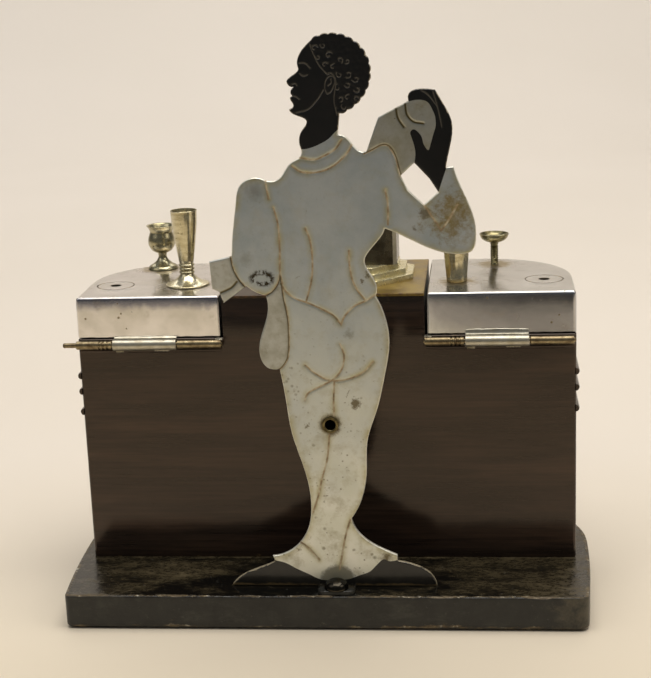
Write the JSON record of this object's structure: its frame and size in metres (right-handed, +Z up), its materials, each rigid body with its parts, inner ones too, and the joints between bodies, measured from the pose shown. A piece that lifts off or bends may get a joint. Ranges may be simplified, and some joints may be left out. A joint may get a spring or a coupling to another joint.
{
  "type": "table lighter with cigarette box",
  "caption": "Bar-shaped table lighter with two hinged-lid cigarette boxes, a lift-out lighting wand, small drinking glasses and a flat barman figure behind.",
  "frame": {"origin": "centre of the base's underside (the felt's resting face)", "axes": "+Z up, +X along the bar to the right as seen from behind the barman, +Y from the barman towards the rounded front of the bar"},
  "size_m": [0.157, 0.0826, 0.17],
  "materials": {
    "black_enamel": "worn gloss",
    "felt": "matt",
    "steel": "satin",
    "mahogany_enamel": "gloss wood grain",
    "copper_top": "satin, worn",
    "nickel": "polished, tarnished",
    "hinge_metal": "satin, tarnished",
    "brass": "polished, tarnished",
    "tower_metal": "satin",
    "flint": "rough",
    "tin": "dull",
    "wadding": "matt",
    "wick": "matt",
    "gasket": "matt",
    "figure_nickel": "satin with enamel"
  },
  "bodies": {
    "stand": {"base": "black_enamel", "base_felt": "felt", "base_screw_1": "steel", "base_screw_2": "steel", "base_screw_3": "steel", "base_screw_4": "steel", "bar_case": "mahogany_enamel", "case_floor": "steel", "centre_top": "copper_top", "left_partition": "steel", "left_bin_floor": "steel", "left_case_leaf": "hinge_metal", "left_hinge_pin": "hinge_metal", "right_partition": "steel", "right_bin_floor": "steel", "right_case_leaf": "hinge_metal", "right_hinge_pin": "hinge_metal", "trim_band_upper": "mahogany_enamel", "trim_band_middle": "mahogany_enamel", "trim_band_lower": "mahogany_enamel", "plinth": "brass", "tower": "tower_metal", "striker_channel": "brass", "striker_flint": "flint", "fuel_tank": "tin", "tank_cover": "tin", "tank_wadding": "wadding", "wand_well": "brass", "filler_screw": "brass", "filler_gasket": "gasket", "figure_plate": "figure_nickel", "figure_spacer": "brass", "figure_rivet": "brass", "foot_screw": "steel"},
    "left_lid": {"left_lid": "nickel", "left_lid_knuckle": "hinge_metal", "goblet": "brass", "goblet_washer": "steel", "pilsner_glass": "brass", "pilsner_glass_washer": "steel"},
    "right_lid": {"right_lid": "nickel", "right_lid_knuckle": "hinge_metal", "tumbler": "brass", "tumbler_washer": "steel", "coupe_glass": "brass", "coupe_glass_washer": "steel"},
    "wand": {"wand_knob": "nickel", "wand_rod": "brass", "wand_wick": "wick"}
  },
  "joints": [
    {"name": "left_lid_hinge", "type": "hinge", "parent": "stand", "child": "left_lid", "pos_m": [-0.05345, -0.01315, 0.079], "axis": [1, 0, 0], "range_deg": [0, 94]},
    {"name": "right_lid_hinge", "type": "hinge", "parent": "stand", "child": "right_lid", "pos_m": [0.05115, -0.01315, 0.079], "axis": [1, 0, 0], "range_deg": [0, 94]},
    {"name": "wand_lift", "type": "slide", "parent": "stand", "child": "wand", "axis": [0, 0, 1], "range_m": [0, 0.058]}
  ]
}
